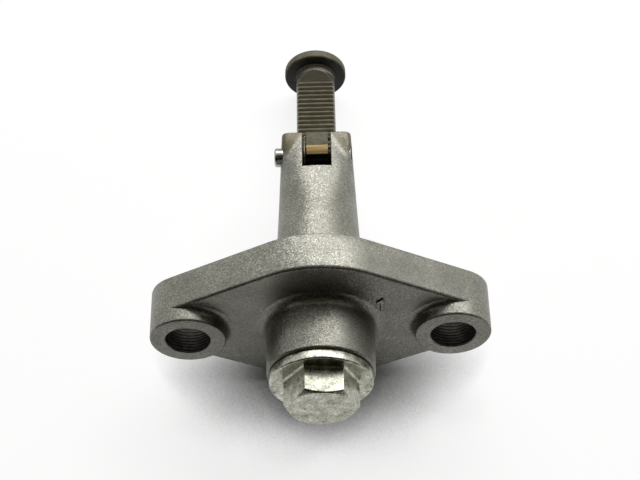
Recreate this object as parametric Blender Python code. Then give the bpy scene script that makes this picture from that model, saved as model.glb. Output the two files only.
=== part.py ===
# Timing chain tensioner: a spring-loaded ratchet plunger in a die-cast housing with two ears.
# Metres, +Z up. The origin is on the plunger's axis, in the plane of the mounting face.
# +Y runs along the plunger out of the nose, +X along the ears, and the rack faces +Z.

import math

import bmesh
import bpy
import numpy as np
from mathutils import Matrix, Vector

# Flange plate and ears
HOLE_SPACING = 0.0410
HOLE_RADIUS = 0.0035
HOLE_CHAMFER = 0.0002
EAR_RADIUS = 0.00605
EAR_THICKNESS = 0.0083
EAR_RIM_CHAMFER = 0.0003
EAR_ROOT_FILLET = 0.0011
EAR_STANDOUT = 0.00005
EAR_FLARE_INSET = 0.00012
PLATE_RADIUS = 0.01595
PLATE_THICKNESS = 0.00615
PLATE_EDGE_ROUND = 0.0006
DRAFT_ANGLE = math.radians(1.0)

# Centre boss that holds the cap bolt
BOSS_RADIUS = 0.0083
BOSS_HEIGHT = 0.00885
BOSS_ROOT_FILLET = 0.0016
BOSS_RIM_ROUND = 0.0003

# Nose that goes into the engine
NOSE_LENGTH = 0.0285
NOSE_ROOT_RADIUS = 0.00715
NOSE_TIP_RADIUS = 0.0060
NOSE_ROOT_FILLET = 0.0008
NOSE_RIM_ROUND = 0.00025
SHOULDER_START = 0.0140
SHOULDER_END = 0.0060
SHOULDER_POWER = 3.0
TIP_BLOCK_LENGTH = 0.0080
TIP_DRAFT_ANGLE = math.radians(2.0)
TIP_CORNER_SHARPNESS = 18
SLOT_WIDTH = 0.00477
SLOT_LENGTH = 0.00755

# Plunger
PLUNGER_RADIUS = 0.0034
PLUNGER_CLEARANCE = 0.0003
PLUNGER_STANDOFF = 0.01837
PLUNGER_TAIL = 0.0225
PLUNGER_CHAMFER = 0.0004
HEAD_RADIUS = 0.00545
HEAD_THICKNESS = 0.0017
HEAD_EDGE_ROUND = 0.00035
HEAD_CROWN = 0.0003
HEAD_PAD_RADIUS = 0.0030
HEAD_ROOT_FILLET = 0.0003
NECK_LENGTH = 0.0015
STROKE = 0.0120
TAIL_GAP = 0.00105

# Rack on the plunger's flat
RACK_HEIGHT = 0.0016
RACK_REAR_LAND = 0.0020
RACK_PITCH = 0.0010
RACK_DEPTH = 0.0005
RACK_STEEP_RUN = 0.00013
RUNOUT_ANGLE = math.radians(56.0)
RUNOUT_FILLET = 0.0005

# Pawl, its pin and the gaps between them
PIN_RADIUS = 0.0016
PIN_SETBACK = 0.0034
PIN_RACK_GAP = 0.00045
PIN_HOLE_CLEARANCE = 0.0001
PIN_PROUD = 0.00095
PIN_END_ROUND = 0.0004
PIN_FAR_SETBACK = 0.0004
PAWL_WIDTH = 0.00365
PAWL_OFFSET = 0.00010
PAWL_COVER = 0.0010
PAWL_SINK = 0.00010
PAWL_SADDLE_GAP = 0.00012
PAWL_LIP = 0.00038
PAWL_LIP_ANGLE = math.radians(118.0)
PAWL_HEEL_ANGLE = math.radians(-35.0)
PAWL_HEEL_RUN = 0.00135
PAWL_SLOPE_RUN = 0.0005
PAWL_LASH = 0.00025
PAWL_TOOTH_GAP = 0.00008

# Pawl spring, a bent wire in the slot beside the pawl
PAWL_WIRE_RADIUS = 0.00018
PAWL_WIRE_GAP = 0.00015
PAWL_WIRE_BEND = 0.00029
PAWL_WIRE_FOOT_ANGLE = math.radians(190.0)
PAWL_WIRE_FOOT_RISE = 0.0003
PAWL_EYE_RADIUS = 0.00030
PAWL_EYE_SETBACK = 0.00050
PAWL_EYE_DROP = 0.00080
PAWL_HOOK_LENGTH = 0.0009
PAWL_HOOK_RISE = 0.0002

# Cap bolt, its seal and the plunger spring
THREAD_RADIUS = 0.0040
THREAD_CLEARANCE = 0.00025
THREAD_RUNOUT = 0.0008
THREAD_TIP_CHAMFER = 0.0006
SEAL_THICKNESS = 0.00035
SEAL_GAP = 0.00010
SEAL_WIDTH = 0.0030
BOLT_FLANGE_RADIUS = 0.00792
BOLT_FLANGE_THICKNESS = 0.00110
BOLT_FLANGE_ROUND = 0.0003
HEX_ACROSS_FLATS = 0.0100
HEX_HEIGHT = 0.0041
HEX_CHAMFER_ANGLE = math.radians(30.0)
HEX_FACE_RADIUS = 0.0048
HEX_TURN = math.radians(5.0)
SPRING_OUTER_RADIUS = 0.0021
SPRING_WIRE_RADIUS = 0.00035
SPRING_TURNS = 16
SPRING_TURN_GAP = 0.00004
SPRING_POCKET_CLEARANCE = 0.0003
SPRING_END_GAP = 0.0002
BOLT_POCKET_DEPTH = 0.0018
PLUNGER_BORE_DEPTH = 0.0145

# Facets on round shapes
ROUND_STEPS = 64
SMALL_STEPS = 32
ARC_STEPS = 5
OVERSHOOT = 0.0010

# Places that follow from the sizes above
ear_x = HOLE_SPACING / 2
boss_face_y = -(PLATE_THICKNESS + BOSS_HEIGHT)
bore_radius = PLUNGER_RADIUS + PLUNGER_CLEARANCE
pin_y = NOSE_LENGTH - PIN_SETBACK
pin_z = RACK_HEIGHT + PIN_RACK_GAP + PIN_RADIUS
nose_tip_top = pin_z + PIN_RADIUS + PAWL_COVER
head_y = NOSE_LENGTH + PLUNGER_STANDOFF
flat_start_y = pin_y - PIN_RADIUS - PLUNGER_CLEARANCE
plunger_tail_y = NOSE_LENGTH - PLUNGER_TAIL
bolt_seat_y = boss_face_y - 2 * SEAL_GAP - SEAL_THICKNESS
bolt_end_y = plunger_tail_y - STROKE - TAIL_GAP
thread_end_y = bolt_end_y + THREAD_RUNOUT
pocket_radius = SPRING_OUTER_RADIUS + SPRING_POCKET_CLEARANCE
spring_start_y = bolt_end_y - BOLT_POCKET_DEPTH + SPRING_END_GAP
spring_end_y = plunger_tail_y + PLUNGER_BORE_DEPTH - SPRING_END_GAP


def clear_scene():
    for item in list(bpy.data.objects):
        bpy.data.objects.remove(item, do_unlink=True)


def make_material(name, colour, metallic, roughness):
    material = bpy.data.materials.new(name)
    material.use_nodes = True
    shader = material.node_tree.nodes["Principled BSDF"]
    shader.inputs["Base Color"].default_value = (*colour, 1.0)
    shader.inputs["Metallic"].default_value = metallic
    shader.inputs["Roughness"].default_value = roughness
    return material


def make_object(name, points, faces, material=None, sharp_angle=30.0):
    """Closed mesh object with its faces turned outwards and smooth shading up to an angle."""
    mesh = bpy.data.meshes.new(name)
    mesh.from_pydata([tuple(map(float, p)) for p in points], [], faces)
    work = bmesh.new()
    work.from_mesh(mesh)
    bmesh.ops.recalc_face_normals(work, faces=work.faces)
    work.to_mesh(mesh)
    work.free()
    mesh.shade_smooth()
    mesh.set_sharp_from_angle(angle=math.radians(sharp_angle))
    if material:
        mesh.materials.append(material)
    item = bpy.data.objects.new(name, mesh)
    bpy.context.scene.collection.objects.link(item)
    return item


def set_origin(item, place):
    """Moves the object's origin to a place and leaves the shape where it is."""
    item.data.transform(Matrix.Translation(-Vector(place)))
    item.location = place


def as_tool(item):
    item.hide_render = True
    item.display_type = "WIRE"
    return item


def combine(item, tool, operation):
    step = item.modifiers.new(f"{operation.lower()}_{tool.name}", "BOOLEAN")
    step.operation = operation
    step.solver = "EXACT"
    step.object = as_tool(tool)


def loft(name, rings, material=None, sharp_angle=30.0):
    """Closed solid through a list of rings with equal counts of points, capped at both ends."""
    rings = np.asarray(rings)
    rows, count = rings.shape[:2]
    faces = [tuple(range(count)), tuple(range((rows - 1) * count, rows * count))]
    for row in range(rows - 1):
        for i in range(count):
            a = row * count + i
            b = row * count + (i + 1) % count
            faces.append((a, b, b + count, a + count))
    return make_object(name, rings.reshape(-1, 3), faces, material, sharp_angle)


def circle_ring(y, radius, steps, x=0.0, z=0.0):
    turn = np.arange(steps) * 2 * math.pi / steps
    return np.stack([x + radius * np.cos(turn), np.full(steps, y), z + radius * np.sin(turn)], 1)


def turned(name, profile, steps, material=None, x=0.0, z=0.0):
    """Solid of revolution about a line along Y, from a list of (y, radius) pairs."""
    return loft(name, [circle_ring(y, r, steps, x, z) for y, r in profile], material)


def turned_ring(name, profile, steps, material=None):
    """Ring about the Y axis whose section is a closed list of (y, radius) pairs."""
    rings = np.asarray([circle_ring(y, r, steps) for y, r in profile])
    rows = len(profile)
    faces = []
    for row in range(rows):
        after = (row + 1) % rows
        for i in range(steps):
            j = (i + 1) % steps
            faces.append((row * steps + i, row * steps + j, after * steps + j, after * steps + i))
    return make_object(name, rings.reshape(-1, 3), faces, material)


def extruded(name, outline, x_low, x_high, material=None):
    """Outline of (y, z) pairs carried from one X to another."""
    rings = [[(x, y, z) for y, z in outline] for x in (x_low, x_high)]
    return loft(name, rings, material)


def arc(centre, radius, start, end, steps=ARC_STEPS):
    """Points of an arc in a plane, with both ends."""
    angles = np.linspace(start, end, steps + 1)
    return [(centre[0] + radius * math.cos(a), centre[1] + radius * math.sin(a)) for a in angles]


def hull_ring(y, inset):
    """Outline of the plate: a middle circle and two ear circles with the tangents that join them."""
    span = ear_x - EAR_STANDOUT
    middle = PLATE_RADIUS - inset
    ear = EAR_RADIUS - EAR_STANDOUT / 2 - inset
    lean = math.asin((middle - ear) / span)
    quarter = math.pi / 2
    outline = arc((span, 0), ear, -quarter + lean, quarter - lean, 16)
    outline += arc((0, 0), middle, quarter - lean, quarter + lean, 18)
    outline += arc((-span, 0), ear, quarter + lean, 3 * quarter - lean, 16)
    outline += arc((0, 0), middle, 3 * quarter - lean, 3 * quarter + lean, 18)
    return [(x, y, z) for x, z in outline]


def drafted(y):
    """How far a drafted side has drawn in at a distance from the mounting face."""
    return abs(y) * math.tan(DRAFT_ANGLE)


def make_plate(material):
    """Flat diamond plate with drafted sides and a rounded front edge."""
    edge_y = PLATE_THICKNESS - PLATE_EDGE_ROUND
    rings = [hull_ring(0.0, 0.0)]
    for a in np.linspace(0, math.pi / 2, ARC_STEPS):
        y = edge_y + PLATE_EDGE_ROUND * math.sin(a)
        rings.append(hull_ring(-y, drafted(edge_y) + PLATE_EDGE_ROUND * (1 - math.cos(a))))
    return loft("housing", rings, material)


def ear_post_ring(y, flare, side, steps=48):
    """Ear outline: its circle, with a root flare that stays inside the plate's sides."""
    radius = EAR_RADIUS - drafted(y)
    lean = math.asin((PLATE_RADIUS - EAR_RADIUS) / ear_x)
    turn = np.arange(steps) * 2 * math.pi / steps
    around = math.pi - np.abs(turn - math.pi)
    past = around - (math.pi / 2 - lean)
    wall = (radius - EAR_FLARE_INSET) / np.maximum(np.cos(past), 0.05)
    limit = np.where(past > 0, np.maximum(wall, radius), radius)
    reach = np.minimum(radius + flare, limit)
    return np.stack([side * (ear_x + reach * np.cos(turn)), np.full(steps, y), reach * np.sin(turn)], 1)


def make_ear_post(name, side):
    """Round post of an ear, proud of the plate, with a fillet at its root."""
    rings = [ear_post_ring(0.0, 0.0, side), ear_post_ring(EAR_ROOT_FILLET - PLATE_THICKNESS, 0.0, side)]
    for a in np.linspace(0.15, math.pi / 2, ARC_STEPS):
        y = PLATE_THICKNESS + EAR_ROOT_FILLET * (1 - math.cos(a))
        rings.append(ear_post_ring(-y, EAR_ROOT_FILLET * (1 - math.sin(a)), side))
    rings.append(ear_post_ring(-(EAR_THICKNESS - EAR_RIM_CHAMFER), 0.0, side))
    rings.append(ear_post_ring(-EAR_THICKNESS, -EAR_RIM_CHAMFER, side))
    return loft(name, rings)


def make_boss():
    """Round boss for the cap bolt, with a fillet where it meets the plate."""
    slope = math.tan(DRAFT_ANGLE)
    root_y = PLATE_THICKNESS + BOSS_ROOT_FILLET
    root_radius = BOSS_RADIUS + (-boss_face_y - root_y) * slope
    profile = [(-PLATE_THICKNESS / 2, root_radius + BOSS_ROOT_FILLET)]
    for a in np.linspace(0.12, math.pi / 2, ARC_STEPS + 2):
        y = PLATE_THICKNESS + BOSS_ROOT_FILLET * (1 - math.cos(a))
        profile.append((-y, root_radius + BOSS_ROOT_FILLET * (1 - math.sin(a))))
    for a in np.linspace(0, math.pi / 2, 4):
        y = -boss_face_y - BOSS_RIM_ROUND * (1 - math.sin(a))
        profile.append((-y, BOSS_RADIUS - BOSS_RIM_ROUND * (1 - math.cos(a))))
    return turned("boss_form", profile, ROUND_STEPS)


def nose_reach(turn, y, inset):
    """Distance from the axis to the nose's skin: the larger of its round body and its squared tip."""
    along = min(max(y / NOSE_LENGTH, 0.0), 1.0)
    back = NOSE_LENGTH - y
    half = NOSE_ROOT_RADIUS + (NOSE_TIP_RADIUS - NOSE_ROOT_RADIUS) * along - inset
    top = NOSE_ROOT_RADIUS + (nose_tip_top - NOSE_ROOT_RADIUS) * along - inset
    out, over = np.abs(np.cos(turn)), np.maximum(np.sin(turn), 0.0)
    ramp = min(max((SHOULDER_START - back) / (SHOULDER_START - SHOULDER_END), 0.0), 1.0)
    power = 2 + (SHOULDER_POWER - 2) * ramp * ramp * (3 - 2 * ramp)
    body = ((out / half) ** power + (over / top) ** power) ** (-1 / power)
    if back < TIP_BLOCK_LENGTH:
        lid = (nose_tip_top - inset) * math.sqrt(1 - (back / TIP_BLOCK_LENGTH) ** 2)
        side = (out + over * math.tan(TIP_DRAFT_ANGLE)) / half
        sharp = TIP_CORNER_SHARPNESS
        body = np.maximum(body, (side ** sharp + (over / lid) ** sharp) ** (-1 / sharp))
    return np.where(np.sin(turn) > 0, body, half)


def nose_ring(y, inset=0.0):
    """Nose section, with its upper half in finer steps than its lower half."""
    turn = np.concatenate([np.linspace(0, math.pi, 49)[:-1], np.linspace(math.pi, 2 * math.pi, 25)[:-1]])
    reach = nose_reach(turn, y, inset)
    return np.stack([reach * np.cos(turn), np.full(len(turn), y), reach * np.sin(turn)], 1)


def make_nose():
    """Tapered round nose whose slotted tip is squared on top, with sides that fall away behind it."""
    rings = [nose_ring(-PLATE_THICKNESS / 2, -NOSE_ROOT_FILLET)]
    for a in np.linspace(0.15, math.pi / 2, 4):
        y = NOSE_ROOT_FILLET * (1 - math.cos(a))
        rings.append(nose_ring(y, -NOSE_ROOT_FILLET * (1 - math.sin(a))))
    for back in np.linspace(SHOULDER_START, TIP_BLOCK_LENGTH, 4):
        rings.append(nose_ring(NOSE_LENGTH - back))
    for a in np.linspace(0, math.pi / 2, 13)[1:-1]:
        rings.append(nose_ring(NOSE_LENGTH - TIP_BLOCK_LENGTH * math.cos(a)))
    for a in np.linspace(0, math.pi / 2, 4):
        y = NOSE_LENGTH - NOSE_RIM_ROUND * (1 - math.sin(a))
        rings.append(nose_ring(y, NOSE_RIM_ROUND * (1 - math.cos(a))))
    return loft("nose_form", rings)


def make_hole_cutter(name, x):
    """Through hole of an ear, eased at both rims."""
    flare = HOLE_RADIUS + HOLE_CHAMFER + OVERSHOOT
    profile = [(-EAR_THICKNESS - OVERSHOOT, flare), (-EAR_THICKNESS + HOLE_CHAMFER, HOLE_RADIUS),
               (-HOLE_CHAMFER, HOLE_RADIUS), (OVERSHOOT, flare)]
    return turned(name, profile, SMALL_STEPS, x=x)


def make_bore_cutter():
    """Threaded mouth at the boss and the plunger's bore through to the nose tip."""
    mouth = THREAD_RADIUS + THREAD_CLEARANCE
    profile = [(boss_face_y - OVERSHOOT, mouth), (thread_end_y, mouth),
               (thread_end_y + mouth - bore_radius, bore_radius), (NOSE_LENGTH + OVERSHOOT, bore_radius)]
    return turned("bore_form", profile, 48)


def make_slot_cutter():
    """Open-ended slot through the nose's upper wall."""
    low, high = RACK_HEIGHT / 2, nose_tip_top + OVERSHOOT
    start, end = NOSE_LENGTH - SLOT_LENGTH, NOSE_LENGTH + OVERSHOOT
    outline = [(start, low), (end, low), (end, high), (start, high)]
    return extruded("slot_form", outline, -SLOT_WIDTH / 2, SLOT_WIDTH / 2)


def cross_cylinder(name, radius, profile, material=None, steps=SMALL_STEPS):
    """Round bar along X through the pin's centre, from (x, change of radius) pairs."""
    turn = np.arange(steps) * 2 * math.pi / steps
    rings = []
    for x, change in profile:
        r = radius + change
        rings.append(np.stack([np.full(steps, x), pin_y + r * np.cos(turn), pin_z + r * np.sin(turn)], 1))
    return loft(name, rings, material)


def make_housing(material):
    """One die-casting: plate, ears, boss and nose, with its holes, bore and slot."""
    housing = make_plate(material)
    combine(housing, make_ear_post("left_ear_form", -1), "UNION")
    combine(housing, make_ear_post("right_ear_form", 1), "UNION")
    combine(housing, make_boss(), "UNION")
    combine(housing, make_nose(), "UNION")
    combine(housing, make_hole_cutter("left_hole_form", -ear_x), "DIFFERENCE")
    combine(housing, make_hole_cutter("right_hole_form", ear_x), "DIFFERENCE")
    combine(housing, make_bore_cutter(), "DIFFERENCE")
    combine(housing, make_slot_cutter(), "DIFFERENCE")
    reach = NOSE_ROOT_RADIUS + OVERSHOOT
    hole = cross_cylinder("pin_hole_form", PIN_RADIUS + PIN_HOLE_CLEARANCE, [(-reach, 0), (reach, 0)])
    combine(housing, hole, "DIFFERENCE")
    return housing


def first_crest():
    """Place of the rack's foremost crest, at the foot of the run-out."""
    rise = (PLUNGER_RADIUS - RACK_HEIGHT) / math.tan(RUNOUT_ANGLE)
    return head_y - NECK_LENGTH - rise - RACK_STEEP_RUN


def rack_points(y_low, y_high, shift_y=0.0, shift_z=0.0):
    """Saw-tooth line between two places: steep faces look to -Y and slopes look to +Y."""
    crest = first_crest() + shift_y
    top, root = RACK_HEIGHT + shift_z, RACK_HEIGHT - RACK_DEPTH + shift_z
    count = int((crest - y_low) / RACK_PITCH) + 2
    corners = []
    for i in range(count, -2, -1):
        corners.append((crest - i * RACK_PITCH - RACK_STEEP_RUN, root))
        corners.append((crest - i * RACK_PITCH, top))
    ys, zs = zip(*corners)
    line = [(y_low, float(np.interp(y_low, ys, zs)))]
    line += [(y, z) for y, z in corners if y_low + 1e-6 < y < y_high - 1e-6]
    return line + [(y_high, float(np.interp(y_high, ys, zs)))]


def make_rack_cutter():
    """Everything above the flat: the shoulder, the teeth and the sloping run-out."""
    crest = first_crest()
    rack_rear = flat_start_y + RACK_REAR_LAND
    outline = [(flat_start_y, PLUNGER_RADIUS + OVERSHOOT), (flat_start_y, RACK_HEIGHT)]
    outline += [(rack_rear, RACK_HEIGHT)] + rack_points(rack_rear, crest)
    foot = crest + RACK_STEEP_RUN
    quarter = math.pi / 2
    centre = (foot, RACK_HEIGHT + RUNOUT_FILLET)
    outline += arc(centre, RUNOUT_FILLET, -quarter, RUNOUT_ANGLE - quarter, 4)
    last_y, last_z = outline[-1]
    rise = PLUNGER_RADIUS + OVERSHOOT - last_z
    outline.append((last_y + rise / math.tan(RUNOUT_ANGLE), last_z + rise))
    reach = PLUNGER_RADIUS + OVERSHOOT
    return extruded("rack_form", outline, -reach, reach)


def make_plunger(material):
    """Turned rod with a mushroom head, a toothed flat and a spring bore in its tail."""
    top_y = head_y + HEAD_THICKNESS
    profile = [(plunger_tail_y, PLUNGER_RADIUS - PLUNGER_CHAMFER),
               (plunger_tail_y + PLUNGER_CHAMFER, PLUNGER_RADIUS)]
    profile += [(head_y - HEAD_ROOT_FILLET, PLUNGER_RADIUS), (head_y, PLUNGER_RADIUS + HEAD_ROOT_FILLET)]
    edge = HEAD_RADIUS - HEAD_EDGE_ROUND
    lean = math.atan2(HEAD_CROWN, edge - HEAD_PAD_RADIUS)
    profile += arc((head_y + HEAD_EDGE_ROUND, edge), HEAD_EDGE_ROUND, math.pi, math.pi / 2, 3)
    profile += arc((top_y - HEAD_EDGE_ROUND, edge), HEAD_EDGE_ROUND, math.pi / 2, lean, 3)
    profile.append((top_y + HEAD_CROWN, HEAD_PAD_RADIUS))
    plunger = turned("plunger", profile, 48, material)
    combine(plunger, make_rack_cutter(), "DIFFERENCE")
    end_y = plunger_tail_y + PLUNGER_BORE_DEPTH
    bore = [(plunger_tail_y - OVERSHOOT, pocket_radius), (end_y, pocket_radius),
            (end_y + pocket_radius / 3, pocket_radius / 4)]
    combine(plunger, turned("tail_bore_form", bore, SMALL_STEPS), "DIFFERENCE")
    return plunger


def pawl_outline():
    """Side view of the pawl: teeth under its toe and an open saddle that hangs on the pin."""
    saddle = PIN_RADIUS + PAWL_SADDLE_GAP
    toe_y = NOSE_LENGTH
    top_z = nose_tip_top - PAWL_SINK
    tooth_fall = RACK_DEPTH / (RACK_PITCH - RACK_STEEP_RUN)
    lift = PAWL_LASH * tooth_fall + PAWL_TOOTH_GAP
    teeth = rack_points(pin_y + PAWL_HEEL_RUN, toe_y, -PAWL_LASH, lift)
    outer = saddle + PAWL_LIP
    lip_end = (pin_y + outer * math.cos(PAWL_LIP_ANGLE), pin_z + outer * math.sin(PAWL_LIP_ANGLE))
    outline = teeth + [(toe_y, top_z), (pin_y + PAWL_SLOPE_RUN, top_z), lip_end]
    outline += arc((pin_y, pin_z), saddle, PAWL_LIP_ANGLE, PAWL_HEEL_ANGLE, 16)
    return outline


def pawl_eye():
    """Place (y, z) of the small cross hole that the pawl spring passes through."""
    return NOSE_LENGTH - PAWL_EYE_SETBACK, nose_tip_top - PAWL_EYE_DROP


def make_pawl(material):
    """Two-toothed ratchet pawl that lies in the nose's slot."""
    x_low = PAWL_OFFSET - PAWL_WIDTH / 2
    x_high = PAWL_OFFSET + PAWL_WIDTH / 2
    pawl = extruded("pawl", pawl_outline(), x_low, x_high, material)
    y, z = pawl_eye()
    turn = np.arange(12) * math.pi / 6
    ring_y, ring_z = y + PAWL_EYE_RADIUS * np.cos(turn), z + PAWL_EYE_RADIUS * np.sin(turn)
    ends = (x_low - OVERSHOOT, x_high + OVERSHOOT)
    rings = [np.stack([np.full(12, x), ring_y, ring_z], 1) for x in ends]
    combine(pawl, loft("pawl_eye_form", rings), "DIFFERENCE")
    set_origin(pawl, (0.0, pin_y, pin_z))
    return pawl


def make_pin(material):
    """Cross pin pressed into the nose, proud on the left and short of the wall on the right."""
    wall = NOSE_TIP_RADIUS + (NOSE_ROOT_RADIUS - NOSE_TIP_RADIUS) * PIN_SETBACK / NOSE_LENGTH
    left, right = -(wall + PIN_PROUD), wall - PIN_FAR_SETBACK
    corner = arc((PIN_END_ROUND, -PIN_END_ROUND), PIN_END_ROUND, math.pi, math.pi / 2, 3)
    profile = [(left + x, change) for x, change in corner]
    profile += [(right - x, change) for x, change in reversed(corner)]
    return cross_cylinder("pawl_pin", PIN_RADIUS, profile, material)


def bent_wire(name, points, radius, material, sides, resolution=1):
    """Round wire along a line of points, with filled ends."""
    curve = bpy.data.curves.new(name, "CURVE")
    curve.dimensions = "3D"
    curve.bevel_depth = radius
    curve.bevel_resolution = sides
    curve.use_fill_caps = True
    curve.resolution_u = resolution
    line = curve.splines.new("POLY")
    line.points.add(len(points) - 1)
    for spot, place in zip(line.points, points):
        spot.co = (*place, 1.0)
    curve.materials.append(material)
    item = bpy.data.objects.new(name, curve)
    bpy.context.scene.collection.objects.link(item)
    return item


def pawl_spring_path():
    """From the slot's rear wall, half round the pin, along the pawl, through its eye and back."""
    eye_y, eye_z = pawl_eye()
    near_x = -(SLOT_WIDTH / 2 + PAWL_WIDTH / 2 - PAWL_OFFSET) / 2
    far_x = (SLOT_WIDTH / 2 + PAWL_WIDTH / 2 + PAWL_OFFSET) / 2
    coil = PIN_RADIUS + PAWL_WIRE_GAP + PAWL_WIRE_RADIUS
    rear_y = NOSE_LENGTH - SLOT_LENGTH + PAWL_WIRE_GAP
    foot_z = pin_z + coil * math.sin(PAWL_WIRE_FOOT_ANGLE) + PAWL_WIRE_FOOT_RISE
    side = [(rear_y, foot_z)] + arc((pin_y, pin_z), coil, PAWL_WIRE_FOOT_ANGLE, math.pi / 2, 9)
    bend = PAWL_WIRE_BEND
    path = [(near_x, y, z) for y, z in side]
    path += [(x, y, eye_z) for x, y in arc((near_x + bend, eye_y - bend), bend, math.pi, math.pi / 2, 3)]
    path += [(x, y, eye_z) for x, y in arc((far_x - bend, eye_y - bend), bend, math.pi / 2, 0, 3)]
    path.append((far_x, eye_y - PAWL_HOOK_LENGTH, eye_z + PAWL_HOOK_RISE))
    return path


def spring_path(start, end, radius, turns, steps):
    """Helix about the Y axis with a closed turn at each end."""
    count = turns * steps
    turn = np.arange(count + 1) * 2 * math.pi / steps
    part = np.linspace(0.0, 1.0, count + 1)
    closed = 1.0 / turns
    wire = 2 * SPRING_WIRE_RADIUS + SPRING_TURN_GAP
    low, high = start + SPRING_WIRE_RADIUS, end - SPRING_WIRE_RADIUS
    y = np.interp(part, [0, closed, 1 - closed, 1], [low, low + wire, high - wire, high])
    return np.stack([radius * np.cos(turn), y, radius * np.sin(turn)], 1)


def make_plunger_spring(material):
    """Compression spring between the cap bolt's pocket and the plunger's bore."""
    radius = SPRING_OUTER_RADIUS - SPRING_WIRE_RADIUS
    path = spring_path(spring_start_y, spring_end_y, radius, SPRING_TURNS, 10)
    return bent_wire("plunger_spring", path, SPRING_WIRE_RADIUS, material, 1)


def make_seal(material):
    """Flat sealing ring between the boss and the cap bolt's flange."""
    inner = THREAD_RADIUS + THREAD_CLEARANCE
    front, back = boss_face_y - SEAL_GAP - SEAL_THICKNESS, boss_face_y - SEAL_GAP
    profile = [(back, inner), (front, inner), (front, inner + SEAL_WIDTH), (back, inner + SEAL_WIDTH)]
    return turned_ring("cap_seal", profile, ROUND_STEPS, material)


def make_hex(base_y, top_y):
    """Hexagon prism whose corners are cut back by a chamfer cone at its free end."""
    corner = HEX_ACROSS_FLATS / 2 / math.cos(math.pi / 6)
    turn = math.pi / 3 * np.arange(1, 7) - HEX_TURN
    ring_x, ring_z = corner * np.cos(turn), corner * np.sin(turn)
    rings = [np.stack([ring_x, np.full(6, y), ring_z], 1) for y in (base_y, top_y)]
    prism = loft("hex_form", rings)
    wide = corner + OVERSHOOT
    chamfer_y = top_y + (wide - HEX_FACE_RADIUS) * math.tan(HEX_CHAMFER_ANGLE)
    cone = [(top_y, HEX_FACE_RADIUS), (chamfer_y, wide), (base_y + OVERSHOOT, wide)]
    combine(prism, turned("hex_chamfer_form", cone, ROUND_STEPS), "INTERSECT")
    return prism


def make_cap_bolt(material):
    """Hexagon flange bolt with a plain shank and a spring pocket in its end."""
    face_y = bolt_seat_y - BOLT_FLANGE_THICKNESS
    tip, edge = THREAD_TIP_CHAMFER, BOLT_FLANGE_ROUND
    profile = [(bolt_end_y, THREAD_RADIUS - tip), (bolt_end_y - tip, THREAD_RADIUS),
               (bolt_seat_y, THREAD_RADIUS), (bolt_seat_y, BOLT_FLANGE_RADIUS - edge / 2),
               (bolt_seat_y - edge / 2, BOLT_FLANGE_RADIUS)]
    profile += arc((face_y + edge, BOLT_FLANGE_RADIUS - edge), edge, math.pi / 2, math.pi, 3)
    bolt = turned("cap_bolt", profile, ROUND_STEPS, material)
    combine(bolt, make_hex(face_y + BOLT_FLANGE_THICKNESS / 2, face_y - HEX_HEIGHT), "UNION")
    floor_y = bolt_end_y - BOLT_POCKET_DEPTH
    pocket = [(bolt_end_y + OVERSHOOT, pocket_radius), (floor_y, pocket_radius)]
    combine(bolt, turned("bolt_pocket_form", pocket, SMALL_STEPS), "DIFFERENCE")
    return bolt


def main():
    clear_scene()
    make_housing(make_material("cast_aluminium", (0.30, 0.29, 0.26), 0.9, 0.55))
    make_plunger(make_material("phosphated_steel", (0.10, 0.09, 0.06), 0.8, 0.5))
    make_pawl(make_material("bronze", (0.45, 0.33, 0.15), 1.0, 0.35))
    make_pin(make_material("ground_steel", (0.60, 0.60, 0.60), 1.0, 0.15))
    wire = make_material("spring_steel", (0.35, 0.34, 0.32), 1.0, 0.3)
    bent_wire("pawl_spring", pawl_spring_path(), PAWL_WIRE_RADIUS, wire, 1)
    make_plunger_spring(wire)
    make_cap_bolt(make_material("zinc_plate", (0.62, 0.61, 0.52), 1.0, 0.3))
    make_seal(make_material("black_rubber", (0.02, 0.02, 0.02), 0.0, 0.7))


main()
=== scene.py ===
# Looks for a timing chain tensioner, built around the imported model.
# Sizes are in millimetres here and become metres when a mesh is made.
# Axes follow the frame: +Y out of the nose, +X along the ears, +Z on the rack's side.

import math

import bmesh
import bpy
import numpy as np
from mathutils import Matrix


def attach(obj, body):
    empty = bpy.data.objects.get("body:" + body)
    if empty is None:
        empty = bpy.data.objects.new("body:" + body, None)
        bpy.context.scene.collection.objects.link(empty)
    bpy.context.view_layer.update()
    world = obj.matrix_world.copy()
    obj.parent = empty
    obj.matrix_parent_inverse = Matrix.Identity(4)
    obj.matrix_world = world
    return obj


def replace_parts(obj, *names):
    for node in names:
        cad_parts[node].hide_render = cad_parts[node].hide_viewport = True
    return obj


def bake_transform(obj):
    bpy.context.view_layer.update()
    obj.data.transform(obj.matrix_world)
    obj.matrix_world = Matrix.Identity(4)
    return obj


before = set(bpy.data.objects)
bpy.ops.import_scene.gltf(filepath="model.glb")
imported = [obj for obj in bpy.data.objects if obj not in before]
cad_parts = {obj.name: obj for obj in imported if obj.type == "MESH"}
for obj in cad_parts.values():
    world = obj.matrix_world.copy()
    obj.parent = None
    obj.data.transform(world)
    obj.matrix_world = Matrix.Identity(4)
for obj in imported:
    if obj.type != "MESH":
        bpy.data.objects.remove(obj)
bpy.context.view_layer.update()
print("frame loaded with", len(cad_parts), "nodes")

mm = 0.001
halfTurn = math.pi
quarterTurn = math.pi / 2
fullTurn = 2 * math.pi
sink = 0.02    # how far one surface runs into the next where two pieces of one casting meet
buried = 0.3   # how far a foot spreads out of sight inside its neighbour


# Numbers and curves

def smooth(share):
    # eased step: 3 s^2 - 2 s^3 between 0 and 1
    share = np.clip(share, 0.0, 1.0)
    return share * share * (3 - 2 * share)


def arcPoints(centre, radius, start, end, steps):
    # centre + radius * (cos a, sin a) for angles from start to end, both ends kept
    turn = np.linspace(start, end, steps + 1)
    return np.stack([centre[0] + radius * np.cos(turn), centre[1] + radius * np.sin(turn)], 1)


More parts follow.
